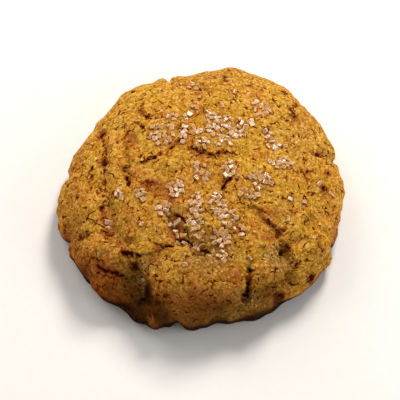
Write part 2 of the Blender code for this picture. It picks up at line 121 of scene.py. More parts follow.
# Soft grooves, mostly from the fork's tines: (half width, depth, points in plan).
GROOVES = (
    (1.2, 0.9, ((-22, 16.5), (-22, 7), (-21.5, 2), (-20, -4))),
    (1.3, 0.5, ((-29, 15), (-27.5, 9), (-27.5, -2), (-25.5, -8))),
    (1.6, 1.4, ((-25.5, -9), (-25, -16), (-22.5, -22.5))),
    (1.8, 0.8, ((0.5, 5.5), (1, 1.5), (0, -3.5), (-0.5, -7))),
    (1.6, 1.5, ((-9.5, -14), (-7.5, -16.5), (-4.5, -19.5), (-2, -22.5), (2, -24))),
    (2.0, 1.4, ((21.5, -17.5), (22.5, -21), (23.5, -25))),
    (1.4, 1.4, ((33, -12.5), (30.5, -15.5), (29.5, -19), (26, -21.5))),
    (1.1, 0.8, ((34, 6), (34.5, 0), (34, -7))),
    (1.1, 1.2, ((13.6, -28), (13.1, -31.5), (12.2, -36))),
    (1.4, 1.1, ((24.2, -22.5), (24.3, -26), (24.2, -29.5))),
    (1.0, 0.7, ((-3, 33.5), (-0.5, 31.5), (2, 26.5), (2.5, 23), (0, 18.5))),
)
# Edges of pressed or torn dough, which falls away on the left of the way along them:
# (drop, run of the fall, run over which it is made up again, points in plan).
LEDGES = (
    (3.9, 2.3, 7.0, ((-12.2, -43), (-12.6, -38), (-13.6, -33.6), (-15.2, -29), (-16.4, -26))),
    (3.0, 1.5, 4.0, ((26, -27.5), (23, -30.2), (18.8, -31.9), (15, -33.7), (12.5, -36))),
    (0.25, 0.6, 2.4, ((12, 4.6), (9, 5.8), (4, 5), (0, 5.7), (-5, 7.7))),
    (0.3, 1.2, 2.8, ((-6.5, -7), (-10, -5.5), (-14, -4), (-17.5, -3))),
    (0.9, 1.0, 3.6, ((24, -19.5), (21.5, -17.5), (18.7, -14.6), (16.5, -12))),
    (0.8, 1.0, 2.6, ((19, -12.5), (15.5, -11.2), (12, -10.7))),
    (0.45, 0.6, 2.8, (
        (-6.5, -22.5), (-9, -23), (-12.4, -24.4), (-15.4, -25.1), (-19.7, -25), (-23.3, -23.5),
    )),
    (0.5, 0.8, 2.0, ((-20, 24.3), (-20.5, 18), (-20.5, 12.8), (-19.5, 10.1), (-18.9, 6.5))),
)
# Cracks in the crust: (half width, depth, points in plan).
CRACKS = (
    (0.8, 1.9, ((-23, -23.5), (-19.5, -25), (-15.5, -25))),
    (0.9, 2.0, ((-12.5, -24.5), (-9, -23), (-6.5, -22.5))),
    (0.8, 1.4, ((-14.5, 3), (-11.5, 4.5), (-7.5, 6.5))),
    (0.8, 1.6, ((9.6, 2), (9, -2.4), (6.5, -5), (5.5, -7))),
    (0.9, 2.0, ((-7.5, -21), (-3, -22.3), (-1, -24), (3, -25.6))),
    (0.7, 1.2, ((-7, -13.4), (-5, -15), (-3, -16.8))),
    (0.6, 1.2, ((-17, 22.5), (-16.5, 20.5), (-15, 18.5))),
    (0.6, 1.2, ((-18, 17), (-16.5, 15.5))),
    (0.7, 1.0, ((-6.5, 12.5), (-5, 15), (-3.5, 13.5))),
    (0.7, 0.9, ((6.5, 36.5), (8.5, 32))),
    (0.6, 0.9, ((17.5, 29), (20, 31))),
    (0.8, 1.8, ((30, 7.5), (33, 7.5), (36, 8.5), (39, 9.5))),
    (0.65, 1.1, ((-5, 7.7), (-1.4, 6.4), (0, 5.7), (3.7, 5), (9.2, 5.8), (11.7, 4.6))),
    (0.8, 1.7, ((14.1, -28.2), (13.6, -31.5), (12.6, -34.5), (13, -36.3))),
    (0.6, 1.0, ((18.7, -14.6), (21.5, -17.5), (23.4, -18.1))),
    (0.6, 1.0, ((-29, 15), (-27.7, 9.8), (-27.5, 3.3), (-27.2, -1.9), (-26.2, -5.2), (-25, -7.9))),
    (0.6, 0.8, ((29, 0.5), (30.5, 1.7), (33, 1))),
    (0.6, 0.9, ((-28, -17), (-24, -18.5))),
    (0.7, 1.1, ((-33, -19), (-31, -16.5))),
    (0.9, 1.9, ((-29, -26), (-25, -29), (-22, -30.5))),
    (0.6, 1.2, ((24.5, -11.5), (29, -11.2))),
    (0.7, 1.2, ((10.5, -18), (13.5, -20))),
    (0.9, 1.7, ((-19, -37), (-13, -37.3))),
    (0.8, 1.3, ((28.8, 27.6), (26.5, 24), (27.5, 20.5))),
)
# Pits left by burst bubbles: (x, y, radius, depth).
PITS = (
    (-28.8, 15.2, 1.2, 1.8), (-27.5, 4, 1.1, 1.2), (-21.6, 1.5, 0.9, 1.4), (27.2, 20.3, 1.1, 1.6),
    (25.2, -21.8, 0.7, 0.9), (23.5, -24, 0.7, 0.9), (27, -26.5, 0.7, 1.1), (31.4, -28.2, 1.1, 1.6),
    (22.8, -34.6, 1.3, 1.7), (24, -29.2, 0.7, 0.9), (12.6, -35.8, 1.0, 1.6), (-17.8, -38, 1.1, 1.6),
    (37, 2.5, 0.9, 1.1), (35.7, -2.8, 1.0, 1.2), (11.5, 15, 0.9, 1.2), (-18.5, -28, 1.1, 1.2),
    (19.5, 14, 0.8, 1.0),
)
# How a line's depth rises from its ends: (rise per share of the line, share of the depth at the very end).
GROOVE_ENDS = (6, 0.35)
CRACK_ENDS = (5, 0.2)
LEDGE_TAPER = 0.2  # share of a ledge over which each end dies away
RAGGED = 0.9  # how far the dough's grain pushes an edge of a crack aside
RAGGED_SIZE = 3.2  # length of that waver
WAVE_HEIGHT, WAVE_SIZE = 0.50, 11.0  # broad unevenness of the dough
CRUMB_HEIGHT, CRUMB_SIZE = 0.16, 3.4  # its coarse crumb
RIM_CRUMB_HEIGHT, RIM_CRUMB_SIZE = 0.50, 4.6  # the rougher crumb of the rim
RIM_CRUMB_TOP = (4.0, 13.0)  # heights between which that dies away
NOISE_FALL, NOISE_STEP = 0.9, 2.0  # how fast the shorter waves of noise weaken, and how much shorter each is

# ---- Dough: what is too fine for the solid ---------------------------------------------------------------
GRAIN_HEIGHT, GRAIN_SIZE = 0.09, 1.2  # flour and crushed nuts just under the skin
FRAYED, FRAYED_SIZE = 0.7, 1.2  # finer waver of a crack's edges
CRACK_SHARPNESS = 0.56  # width and depth of a crack as a share of what the solid's large facets need
PIT_WIDTH_SHARE, PIT_DEPTH_SHARE = 0.9, 0.8  # a pit's radius and depth as shares of the solid's
GAPE, GAPE_SIZE, GAPE_RANGE = 0.9, 1.8, (0.65, 1.3)  # how a crack opens and closes along its way
NO_CRACK = 9.0  # half widths that count as far from every crack
# Short thin cracks that the solid's facets are too large for, given as CRACKS are.
FINE_CRACKS = (
    (0.7, 1.5, ((-17.6, 2.6), (-16, 3.2), (-13, 4.6))),
    (0.7, 1.5, ((-9.5, 6.6), (-7.5, 8.2), (-4.5, 9.8))),
    (0.8, 1.6, ((-22.3, 2.2), (-21.3, -0.5), (-20.2, -4.4))),
    (0.8, 1.7, ((-17.6, 23.4), (-16.7, 20.8), (-14.8, 18))),
    (0.8, 1.7, ((-19.4, 17.6), (-15.9, 15))),
    (0.8, 1.5, ((-28.4, -9), (-26.8, -12.5), (-26.4, -16))),
    (0.8, 1.5, ((-31.5, 3.5), (-31, 0), (-31.4, -3.5))),
    (0.8, 1.5, ((-6, 11), (-4.6, 14.6), (-2.9, 12.9))),
)
PORE_SPACING, PORE_RADIUS, PORE_DEPTH = 1.9, 0.34, 0.35  # of the bubbles' small holes
HAIRLINE_PLATE = 5.2  # size of the plates of crust between hairline cracks
HAIRLINE_WIDTH, HAIRLINE_DEPTH = 0.17, 0.35
# Pores and hairline cracks come in patches: (size of the patches' noise, range over which they come in).
PORE_PATCH, PORE_PATCH_RANGE = 3.0, (0.15, 0.4)
HAIRLINE_PATCH, HAIRLINE_PATCH_RANGE = 2.6, (0.15, 0.40)

# ---- Dough: its browning and painted shade, from 0 to 1 --------------------------------------------------
# Toasted patches, and patches of painted shade where walls, folds, lips and the low rim face away from the
# key light: (x, y, reach across, reach along, strength).
TOASTED_AND_SHADED = (
    # The fork marks at the left of the top, and the middle.
    (-20.5, 11, 2.8, 5, 0.22), (-20, 11, 3, 12, 0.05), (-22.5, 3.5, 5, 4, 0.2), (-18.5, 0, 4, 3.5, 0.25),
    (-5, 14, 4, 4, 0.12), (-1, 28, 3, 4, 0.2), (-1.5, 21, 5, 9, 0.18), (-1, 5, 4, 3, 0.15),
    (0.3, 1, 3.5, 7, 0.25),
    # Between the middle and the lump at the front.
    (-12, -5.5, 8, 3.5, 0.2), (-11, -9, 15, 12, 0.12), (-8, -9.5, 4.5, 4, 0.28), (-2, -6, 6, 8, 0.12),
    (-7, -17.5, 3, 4, 0.2), (-7, -19.5, 4, 4.5, 0.45),
    # The left side and its rim, from the back to the front.
    (-30, 0, 18, 36, 0.04), (-38, -8, 8, 28, 0.17), (-34, 14, 4, 5, 0.15), (-34, 7, 4, 6, 0.12),
    (-26, -14.5, 4, 7, 0.33), (-20.5, -16, 4, 9, 0.15), (-36, -18, 5, 9, 0.15), (-20.5, -22, 4.5, 2.5, 0.3),
    (-34, -26, 5, 4, 0.2), (-28, -28, 11, 9, 0.3), (-34, -30, 7, 12, 0.3),
    # The right side and its rim, with painted shade under the folds.
    (27.5, 20, 3.5, 6, 0.1), (38, -8, 5, 16, 0.2), (39, -15, 4, 5, 0.2), (20, -12.6, 9, 2.5, 0.3),
    (11, -17, 4, 3, 0.2), (19, -17.5, 5, 4, 0.1), (23, -18, 4, 3, 0.2), (18.5, -20, 5, 2.5, 0.35),
    (25.5, -23, 7, 8, 0.12),
    # The valley and its walls: painted shade, darkest on the left wall of the lump at the front.
    (-13, -27, 5, 4, 0.25), (-25, -33.5, 6, 5, 0.45), (-15.2, -34.5, 3, 5.5, 0.8),
    (-19.2, -36.5, 6.5, 6, 0.7), (-12.5, -38, 4, 3, 0.3), (-16.5, -40, 5, 3.5, 0.35),
    # The lump at the front, browner, and painted shade on the rim under it.
    (3, -23.5, 7, 3, 0.1), (3, -26.5, 14, 6, 0.12), (0, -31, 16, 6, 0.06), (10, -32, 4, 5, 0.3),
    (-10.5, -36.5, 7, 6, 0.3), (1, -36.5, 14, 5, 0.2), (7, -37.5, 7, 3, 0.2), (2, -38.5, 14, 5, 0.2),
    (-10, -41, 4, 3, 0.35), (0, -42, 28, 6, 0.4),
    # The torn lip: painted shade under it and on the rim below.
    (19, -29, 5, 3, 0.15), (20.5, -34, 7, 3.2, 0.2), (22.5, -35.5, 3, 2.5, 0.4), (21, -37, 7, 4.5, 0.35),
    (18, -40.5, 9, 4.5, 0.9),
)
# Grey-green, less baked dough, and dull olive painted shade, given in the same way.
UNDERDONE_AND_SHADED = (
    # The valley: painted shade.
    (-26, -23, 4.5, 3.5, 0.6), (-14, -27, 5, 3.5, 0.8), (-18, -32, 6, 9, 0.9), (-19, -38, 13, 7, 0.7),
    # Painted shade on the lump at the front, and on the rim under it.
    (7, -23.5, 7, 3, 0.4), (2, -27, 13, 6.5, 1.0), (14, -36, 4, 4, 0.4), (15, -38, 16, 6, 0.9),
    (0, -42.5, 28, 8, 0.9),
    # Painted shade in the hollows round the torn lip.
    (19, -16, 6, 4, 0.3), (21.5, -25, 8, 8, 0.75), (21, -27, 6, 4, 0.4), (21.5, -33.5, 6, 3.5, 0.5),
    # The back and the right, faintly: painted shade.
    (5, 38, 36, 14, 0.3), (30, 16, 12, 20, 0.3),
)
# Browning of the rim from the tray, with painted shade on the low rim at the front and left: (strength,
# heights between which it dies away, its share at the middle of the cookie, and what that share loses per
# millimetre to the right and to the back).
RIM_TOAST_AND_SHADE = (1.0, (0.5, 7.5), 0.2, (0.002, 0.011))
TRAY_TOAST_AND_SHADE = (0.6, (1.6, 5.0), 0.6, (0.006, 0.012))
TRAY_WAVER, TRAY_WAVER_SIZE = 1.2, 5.0  # how far the top edge of TRAY_TOAST_AND_SHADE rises and falls
PROUD_TOAST = 0.02  # more browning for each millimetre that the dough stands out
CLOUD_TOAST, CLOUD_TOAST_SIZE = 0.10, 6.0  # uneven browning all over
EDGE_TOAST = 0.12  # browning of pressed edges and cracks
LEDGE_TOAST_REACH, CRACK_TOAST_REACH = 1.5, 1.0  # how far off its middle that falls to about a third
UNDERSIDE_TOAST = 0.55  # the underside's own browning
UNDERSIDE_CLOUD, UNDERSIDE_CLOUD_SIZE = 0.2, 9.0  # how uneven that is
UNDERSIDE_TOAST_TOP = 1.0  # height at which it has died away
SCORCH = 2.0  # how far from its middle a crystal darkens the dough

# ---- Sugar -----------------------------------------------------------------------------------------------
# Where the sugar lies: (x, y, reach across, reach along, crystals).
SUGAR_PATCHES = (
    (-1.8, 31, 1.8, 2, 4), (-0.6, 25.3, 1, 1, 1), (-1.8, 21.3, 1, 1, 2), (-6.4, 18.8, 3.8, 1.7, 7),
    (-10.9, 12.4, 3.4, 3.8, 16), (-4.6, 11.8, 1.1, 2.7, 7), (-1.2, 13.2, 1.6, 1.2, 4),
    (6.3, 14.2, 3.8, 3.8, 24), (11.5, 13.4, 2, 3.4, 9), (3.4, 18.1, 2.2, 1.8, 7),
    (0.3, 8.6, 2.2, 1.3, 8), (6.6, 8.9, 2.2, 1.1, 5), (17.7, 21.3, 2.6, 3.6, 11),
    (15, 16.5, 1.4, 1.2, 4), (19.6, 13, 1.4, 1.2, 4), (21.2, 9, 1.8, 1.5, 5), (22.7, 3.1, 3.5, 1.8, 10),
    (17.2, -3, 2.8, 2.1, 12), (14.3, -7, 3.6, 1.5, 9), (8.2, -0.2, 1.6, 2.5, 10), (0.6, -0.2, 2.1, 3.4, 8),
    (-6.7, -6, 2.1, 2.5, 11), (-16.8, -7.4, 1.3, 1.5, 5), (-22.5, -7.2, 1.3, 1.5, 4),
    (-9.8, -12.6, 2.2, 1.7, 6), (-1.1, -11.2, 1.6, 3.7, 12), (5, -10.3, 1.9, 3.3, 16),
    (7.8, -14.8, 2.4, 2, 14), (-1.7, -16.4, 2.4, 2, 15), (-0.8, -21.3, 1.9, 2.8, 14),
    (5.9, -21.5, 2.4, 2.7, 14), (-5.3, -20.4, 1.6, 1.6, 6), (-7.3, -16.9, 1.6, 1.7, 5),
    (6.1, -26.4, 1.3, 1.5, 5), (10.8, -18.5, 1.9, 1.4, 5), (24.7, -14.3, 0.7, 0.6, 2),
    (38.2, -3.7, 0.8, 0.6, 2), (-15.9, -28.8, 0.7, 0.5, 2), (-25.8, -14.9, 0.9, 1.2, 3),
    (6.3, 22.1, 0.3, 0.3, 1), (10.3, 27.5, 0.3, 0.3, 1), (33.7, -1.8, 0.3, 0.3, 1),
    (25.5, -7.9, 0.3, 0.3, 1), (29.5, -8.3, 0.3, 0.3, 1), (-16.4, -16.3, 0.3, 0.3, 1),
    (-4.1, -28.6, 0.3, 0.3, 1), (13.6, -25.9, 0.3, 0.3, 1), (24.4, 9.1, 0.4, 0.4, 1),
)
SUGAR_SEED = 7
CRYSTAL = (1.35, 1.05, 0.65)  # a middling crystal's length, width and height
CRYSTAL_SPREAD = 0.32  # how much one differs from another
CRYSTAL_SUNK = 0.5  # share of its height that sits in the dough
CRYSTAL_TILT = 16.0  # degrees
CRYSTAL_GAP = 0.85  # nearest two may be, as a share of their mean length
CRYSTAL_TRIES = 12  # places tried for a crystal before it is left out
SCATTER = 1.05  # how far a patch's crystals stray, as a share of its reach
SKY_HEIGHT = 50.0  # from here the dough under a crystal is looked for
CRYSTAL_CHAMFER = 0.1  # of a side
CHAMFER_AREA = 0.4  # faces of the unit block smaller than this are its chamfers
CRYSTAL_SWELL = 1.1  # size beside the solid's crystals, which are smaller so that fewer of them touch
CRYSTAL_SKEW = 0.15  # how far a corner strays, as a share of a side

# ---- Mesh ------------------------------------------------------------------------------------------------
CUTS = (15, 7)  # of each edge of the starting cube, and then of each edge that gives
UNDERSIDE_LATITUDE = 138.0  # degrees from the top at which the cast cube reaches the underside's edge


# ==== Small helpers =======================================================================================


def deselect_all():
    bpy.ops.object.select_all(action="DESELECT")


def linear(hex_colour, alpha=1.0):
    """An sRGB hex colour as Blender's linear red, green, blue and alpha."""
    parts = [int(hex_colour[i : i + 2], 16) / 255 for i in (1, 3, 5)]
    return tuple(v / 12.92 if v <= 0.04045 else ((v + 0.055) / 1.055) ** 2.4 for v in parts) + (alpha,)


def node(tree, kind, settings=None, **links):
    """Adds a node, sets its properties and unlinked inputs, and links the sockets given by name."""
    made = tree.nodes.new(kind)
    for name, value in (settings or {}).items():
        if name.isdigit() or name in made.inputs:
            made.inputs[int(name) if name.isdigit() else name].default_value = value
        else:
            setattr(made, name, value)
    for name, source in links.items():
        tree.links.new(source, made.inputs[int(name) if name.isdigit() else name.replace("_", " ")])
    return made


def bell(distance):
    """1 at no distance, 0 from 1 on, with a smooth fall between."""
    return np.clip(1 - distance**2, 0, None) ** 2


def step(low, high, value):
    """0 below low, 1 above high, smooth between."""
    t = np.clip((value - low) / (high - low), 0, 1)
    return t * t * (3 - 2 * t)


def from_ends(share):
    """How far each share of a line is from the line's nearer end."""
    return np.minimum(share, 1 - share)


# ==== The dough's form ====================================================================================


def smooth_ring(stations, clock):
    """A closed smooth curve through (clock angle, value) stations, read at the clock angles."""
    angle = np.array([a for a, _ in stations], float)
    value = np.array([v for _, v in stations], float)
    angle = np.concatenate([angle[-2:] - 360, angle, angle[:3] + 360])
    value = np.concatenate([value[-2:], value, value[:3]])
    clock = np.mod(clock, 360.0)
    i = np.searchsorted(angle, clock, side="right") - 1
    span = angle[i + 1] - angle[i]
    t = (clock - angle[i]) / span
    start = (value[i + 1] - value[i - 1]) / (angle[i + 1] - angle[i - 1]) * span
    end = (value[i + 2] - value[i]) / (angle[i + 2] - angle[i]) * span
    return (
        (2 * t**3 - 3 * t**2 + 1) * value[i]
        + (t**3 - 2 * t**2 + t) * start
        + (3 * t**2 - 2 * t**3) * value[i + 1]
        + (t**3 - t**2) * end
    )


def turned_profile():
    """(share of the waist radius, height, share of the way) from the top's middle to the underside's edge."""
    up = np.linspace(0, math.pi / 2, PROFILE_STEPS[0])
    share = np.sin(up) ** (2 / DOME_FLATNESS)
    height = WAIST_HEIGHT + (DOME_HEIGHT - WAIST_HEIGHT) * np.clip(np.cos(up), 0, 1) ** (2 / DOME_FULLNESS)
    down = np.linspace(0, math.pi / 2, PROFILE_STEPS[1])[1:]
    share = np.append(share, BASE_SHARE + (1 - BASE_SHARE) * np.clip(np.cos(down), 0, 1) ** FLANK_FULLNESS)
    height = np.append(height, WAIST_HEIGHT * (1 - np.sin(down)))
    way = np.append(0, np.cumsum(np.hypot(np.diff(share) * MEAN_RADIUS, np.diff(height))))
    return share, height, way / way[-1]


SHARE, HEIGHT, WAY = turned_profile()


def dough_skin(direction):
    """The plain dough under its relief: a unit direction from the middle of a ball is led to the profile."""
    latitude = np.degrees(np.arccos(np.clip(direction[:, 2], -1, 1)))
    clock = np.degrees(np.arctan2(direction[:, 1], direction[:, 0]))
    way = np.clip(latitude / UNDERSIDE_LATITUDE, 0, 1)
    share = np.interp(way, WAY, SHARE)
    height = np.interp(way, WAY, HEIGHT)
    inward = np.clip((180 - latitude) / (180 - UNDERSIDE_LATITUDE), 0, 1)
    share = share * inward
    radius = smooth_ring(RIM, clock)
    crag = np.zeros(len(clock))
    for at, half_width, out in RIM_CRAGS:
        crag += out * bell(((clock - at + 180) % 360 - 180) / half_width)
    fade = np.clip(1 - height / CRAG_TOP, 0, 1) ** CRAG_FADE
    radius = (radius + crag * fade) * share
    turn = np.radians(clock)
    return np.stack([radius * np.cos(turn), radius * np.sin(turn), height], 1)


def skin_height(x, y):
    """Height of the plain dome over a point in plan."""
    share = math.hypot(x, y) / float(smooth_ring(RIM, np.array([math.degrees(math.atan2(y, x))]))[0])
    above = WAY <= WAY[np.argmax(SHARE)]
    return float(np.interp(min(share, 1.0), SHARE[above], HEIGHT[above]))


def line_distance(points, line):
    """Each point's distance from a line drawn on the dome, share of the line, and side (1 is the left)."""
    stops = np.array([(x, y, skin_height(x, y)) for x, y in line])
    runs = np.linalg.norm(np.diff(stops, axis=0), axis=1)
    best, share, side = np.full(len(points), 1e9), np.zeros(len(points)), np.zeros(len(points))
    done = 0.0
    for start, end, run in zip(stops[:-1], stops[1:], runs):
        way, off = end - start, points - start
        along = np.clip(off @ way / run**2, 0, 1)
        distance = np.linalg.norm(off - along[:, None] * way, axis=1)
        nearer = distance < best
        best[nearer] = distance[nearer]
        share[nearer] = (done + along[nearer] * run) / runs.sum()
        side[nearer] = np.sign(way[0] * off[nearer, 1] - way[1] * off[nearer, 0])
        done += run
    return best, share, side


def noise_field(points, size, octaves, offset):
    """Fractal noise of about -1 to 1, with a longest wave of the given size."""
    places = [Vector(point) / size + Vector(offset) for point in points]
    return np.array([noise.fractal(place, NOISE_FALL, NOISE_STEP, octaves) for place in places])


def wavered(points, reach, size, octaves):
    """The points pushed aside by the dough's grain, so that a line measured from them has ragged edges."""
    push = [noise_field(points, size, octaves, (axis * 17.3, 4.1, 8.9)) for axis in range(3)]
    return points + reach * np.stack(push, 1)


def patch_sum(points, patches):
    """The sum of soft round patches at each point: (x, y, reach across, reach along, strength) each."""
    total = np.zeros(len(points))
    for x, y, across, along, strength in patches:
        total += strength * bell(np.hypot((points[:, 0] - x) / across, (points[:, 1] - y) / along))
    return total


def relief(points, frayed):
    """How far the dough stands out from the plain skin at each point, without its cracks."""
    out = WAVE_HEIGHT * noise_field(points, WAVE_SIZE, 3, (3.1, 7.7, 1.3))
    for x, y, across, along, turn, height in LUMPS:
        cosine, sine = math.cos(math.radians(turn)), math.sin(math.radians(turn))
        dx, dy = points[:, 0] - x, points[:, 1] - y
        dz = (points[:, 2] - skin_height(x, y)) / (across + along)
        dx, dy = (dx * cosine + dy * sine) / across, (dy * cosine - dx * sine) / along
        out += height * bell(np.sqrt(dx**2 + dy**2 + dz**2))
    for half_width, depth, line in GROOVES:
        distance, share, _ = line_distance(frayed, line)
        ends = np.clip(GROOVE_ENDS[0] * from_ends(share) + GROOVE_ENDS[1], 0, 1)
        out -= depth * ends * np.exp(-((distance / half_width) ** 2))
    for drop, fall, run, line in LEDGES:
        distance, share, side = line_distance(frayed, line)
        ends = step(0, LEDGE_TAPER, from_ends(share))
        out -= drop * ends * (side > 0) * step(0, fall, distance) * np.exp(-((distance / run) ** 2))
    rim = RIM_CRUMB_HEIGHT * (1 - step(*RIM_CRUMB_TOP, points[:, 2]))
    out += rim * noise_field(points, RIM_CRUMB_SIZE, 2, (6.2, 3.9, 0.7))
    return out + CRUMB_HEIGHT * noise_field(points, CRUMB_SIZE, 2, (9.4, 2.2, 5.8))


def torn_crust(points, frayed):
    """(depth of the named cracks and pits, distance off their middle in half widths) at each point."""
    gape = np.clip(1 + GAPE * noise_field(points, GAPE_SIZE, 2, (2.6, 9.1, 7.3)), *GAPE_RANGE)
    deep, off = np.zeros(len(points)), np.full(len(points), NO_CRACK)
    for half_width, depth, line in CRACKS + FINE_CRACKS:
        distance, share, _ = line_distance(frayed, line)
        ends = np.clip(CRACK_ENDS[0] * from_ends(share) + CRACK_ENDS[1], 0, 1)
        away = distance / (CRACK_SHARPNESS * half_width * gape * ends)
        deep = np.maximum(deep, CRACK_SHARPNESS * depth * gape * bell(away))
        off = np.minimum(off, away)
    for x, y, radius, depth in PITS:
        away = np.linalg.norm(frayed - (x, y, skin_height(x, y)), axis=1) / (PIT_WIDTH_SHARE * radius)
        deep = np.maximum(deep, PIT_DEPTH_SHARE * depth * bell(away))
        off = np.minimum(off, away)
    return deep, off


def along_edges(points):
    """1 at a pressed edge or a crack, where the thin crust browns, and 0 from some way off."""
    near = np.zeros(len(points))
    edges = [(ledge[-1], LEDGE_TOAST_REACH) for ledge in LEDGES]
    edges += [(crack[-1], CRACK_TOAST_REACH) for crack in CRACKS]
    for line, reach in edges:
        distance, share, _ = line_distance(points, line)
        near = np.maximum(near, step(0, LEDGE_TAPER, from_ends(share)) * np.exp(-((distance / reach) ** 2)))
    return near


def fine_relief(points, frayed):
    """What the solid is too coarse for: how far the grain stands out, and how deep the fine holes are."""
    grain = noise_field(points, GRAIN_SIZE, 3, (5.5, 1.1, 2.7))
    pore, hairline = np.zeros(len(points)), np.zeros(len(points))
    for i, (point, pushed) in enumerate(zip(points, frayed)):
        spread, _ = noise.voronoi(Vector(point) / PORE_SPACING)
        pore[i] = spread[0] * PORE_SPACING
        spread, _ = noise.voronoi(Vector(pushed) / HAIRLINE_PLATE)
        hairline[i] = (spread[1] - spread[0]) * HAIRLINE_PLATE
    some = step(*PORE_PATCH_RANGE, noise_field(points, PORE_PATCH, 1, (1.9, 6.6, 0.4)))
    deep = PORE_DEPTH * some * bell(pore / PORE_RADIUS)
    torn = step(*HAIRLINE_PATCH_RANGE, noise_field(points, HAIRLINE_PATCH, 2, (8.8, 3.3, 6.1)))
    deep = np.maximum(deep, HAIRLINE_DEPTH * torn * bell(hairline / (2 * HAIRLINE_WIDTH)))
    return grain, deep


def low_rim_toast_and_shade(skin, height, strength, heights, share, loss):
    """Browning, with painted shade on the low rim, that dies away up the rim between two heights, and towards
    the right and the back.
    """
    return strength * (1 - step(*heights, height)) * np.clip(share - skin[:, :2] @ loss, 0, 1)


def crust_toast_and_shade(skin, ragged, proud):
    """(how toasted, how underdone) each point of the crust is, both carrying painted shade as well; proud is
    how far it stands out.
    """
    tide = skin[:, 2] + proud + TRAY_WAVER * noise_field(skin, TRAY_WAVER_SIZE, 2, (7.1, 8.2, 9.3))
    low = low_rim_toast_and_shade(skin, skin[:, 2], *RIM_TOAST_AND_SHADE) + low_rim_toast_and_shade(skin, tide, *TRAY_TOAST_AND_SHADE)
    clouds = CLOUD_TOAST * noise_field(skin, CLOUD_TOAST_SIZE, 3, (4, 5, 6))
    toast_and_shade = patch_sum(skin, TOASTED_AND_SHADED) + low + PROUD_TOAST * proud + clouds
    toast_and_shade += EDGE_TOAST * along_edges(ragged)
    # The tray browned the underside more evenly.
    under = 1 - step(0, UNDERSIDE_TOAST_TOP, skin[:, 2])
    tray_clouds = UNDERSIDE_CLOUD * noise_field(skin, UNDERSIDE_CLOUD_SIZE, 3, (2, 8, 1))
    toast_and_shade += under * (UNDERSIDE_TOAST + tray_clouds - toast_and_shade)
    underdone_and_shaded = patch_sum(skin, UNDERDONE_AND_SHADED) * (1 - under)
    return np.clip(toast_and_shade, 0, 1), np.clip(underdone_and_shaded, 0, 1)


def build_dough():
    """The cookie without its sugar, as one closed mesh with attributes for its crust's colours and painted
    shade.
    """
    deselect_all()
    bpy.ops.mesh.primitive_cube_add(size=2)
    body = bpy.context.object
    body.name = body.data.name = "cookie_dough"
    bpy.ops.object.mode_set(mode="EDIT")
    bpy.ops.mesh.select_all(action="SELECT")
    for cuts in CUTS:
        bpy.ops.mesh.subdivide(number_cuts=cuts)
    bpy.ops.object.mode_set(mode="OBJECT")
    mesh = body.data

    corner = np.empty(len(mesh.vertices) * 3)
    mesh.vertices.foreach_get("co", corner)
    ball = np.tan(corner.reshape(-1, 3) * math.pi / 4)  # squares of even size once cast to a ball
    ball /= np.linalg.norm(ball, axis=1)[:, None]
    skin = dough_skin(ball)
    mesh.vertices.foreach_set("co", skin.ravel())
    mesh.update()
    outward = np.empty(len(skin) * 3)
    mesh.vertices.foreach_get("normal", outward)
    outward = outward.reshape(-1, 3)

    ragged = wavered(skin, RAGGED, RAGGED_SIZE, 1)
    frayed = wavered(ragged, FRAYED, FRAYED_SIZE, 2)
    proud = relief(skin, frayed)
    grain, fine_depth = fine_relief(skin, frayed)
    torn, off = torn_crust(skin, frayed)
    hollow = np.maximum(torn, fine_depth)
    flat = np.clip(skin[:, 2] / WAIST_HEIGHT, 0, 1)  # the underside lay on the tray and is flat
    outward[skin[:, 2] < WAIST_HEIGHT, 2] = 0
    crust = skin + outward * ((proud + GRAIN_HEIGHT * grain - hollow) * flat)[:, None]
    crust[:, :2] -= CENTRE
    crust[:, 2] = np.clip(crust[:, 2], 0, None)
    mesh.vertices.foreach_set("co", (crust * MM).ravel())
    mesh.update()
    mesh.shade_smooth()

    toast_and_shade, underdone_and_shaded = crust_toast_and_shade(skin, ragged, proud)
    for name, value in (
        ("hollow", hollow),
        ("rift", off),
        ("grain", grain),
        ("toast_and_shade", toast_and_shade),
        ("underdone_and_shaded", underdone_and_shaded),
    ):
        layer = mesh.attributes.new(name, "FLOAT", "POINT")
        layer.data.foreach_set("value", value.astype(np.float32))
    return body


# ==== The sugar ===========================================================================================


def laid_sugar(ground):
    """(place, outward direction, spin, size) of every crystal, by the same draws as the solid's."""
    draw = random.Random(SUGAR_SEED)
    laid = []
    for x, y, across, along, count in SUGAR_PATCHES:
        for _ in range(count):
            size = [edge * draw.uniform(1 - CRYSTAL_SPREAD, 1 + CRYSTAL_SPREAD) for edge in CRYSTAL]
            for _ in range(CRYSTAL_TRIES):
                reach, turn = SCATTER * math.sqrt(draw.random()), draw.uniform(0, math.tau)
                px = x - CENTRE[0] + across * reach * math.cos(turn)
                py = y - CENTRE[1] + along * reach * math.sin(turn)
                clear = all(
                    math.hypot(px - qx, py - qy) > CRYSTAL_GAP * (size[0] + other[0]) / 2
                    for qx, qy, other in laid
                )
                if clear:
                    break
            else:
                continue
            laid.append((px, py, size))
    crystals = []
    for px, py, size in laid:
        place, outward, _, _ = ground.ray_cast(Vector((px, py, SKY_HEIGHT)) * MM, Vector((0, 0, -1)))
        tilt = [math.tan(math.radians(CRYSTAL_TILT)) * draw.uniform(-1, 1) for _ in range(2)]
        outward = (outward + Vector((tilt[0], tilt[1], 0))).normalized()
        crystals.append((place, outward, draw.uniform(0, math.tau), size))
    return crystals


def darken_round_sugar(dough, sugar_places):
    """Writes how near each of the dough's points is to a crystal: 1 at its middle, 0 from SCORCH away."""
    crystals = KDTree(len(sugar_places))
    for index, place in enumerate(sugar_places):
        crystals.insert(place, index)
    crystals.balance()
    away = np.array([crystals.find(vertex.co)[2] for vertex in dough.data.vertices])
    layer = dough.data.attributes.new("scorch_and_shade", "FLOAT", "POINT")
    layer.data.foreach_set("value", bell(away / (SCORCH * MM)).astype(np.float32))


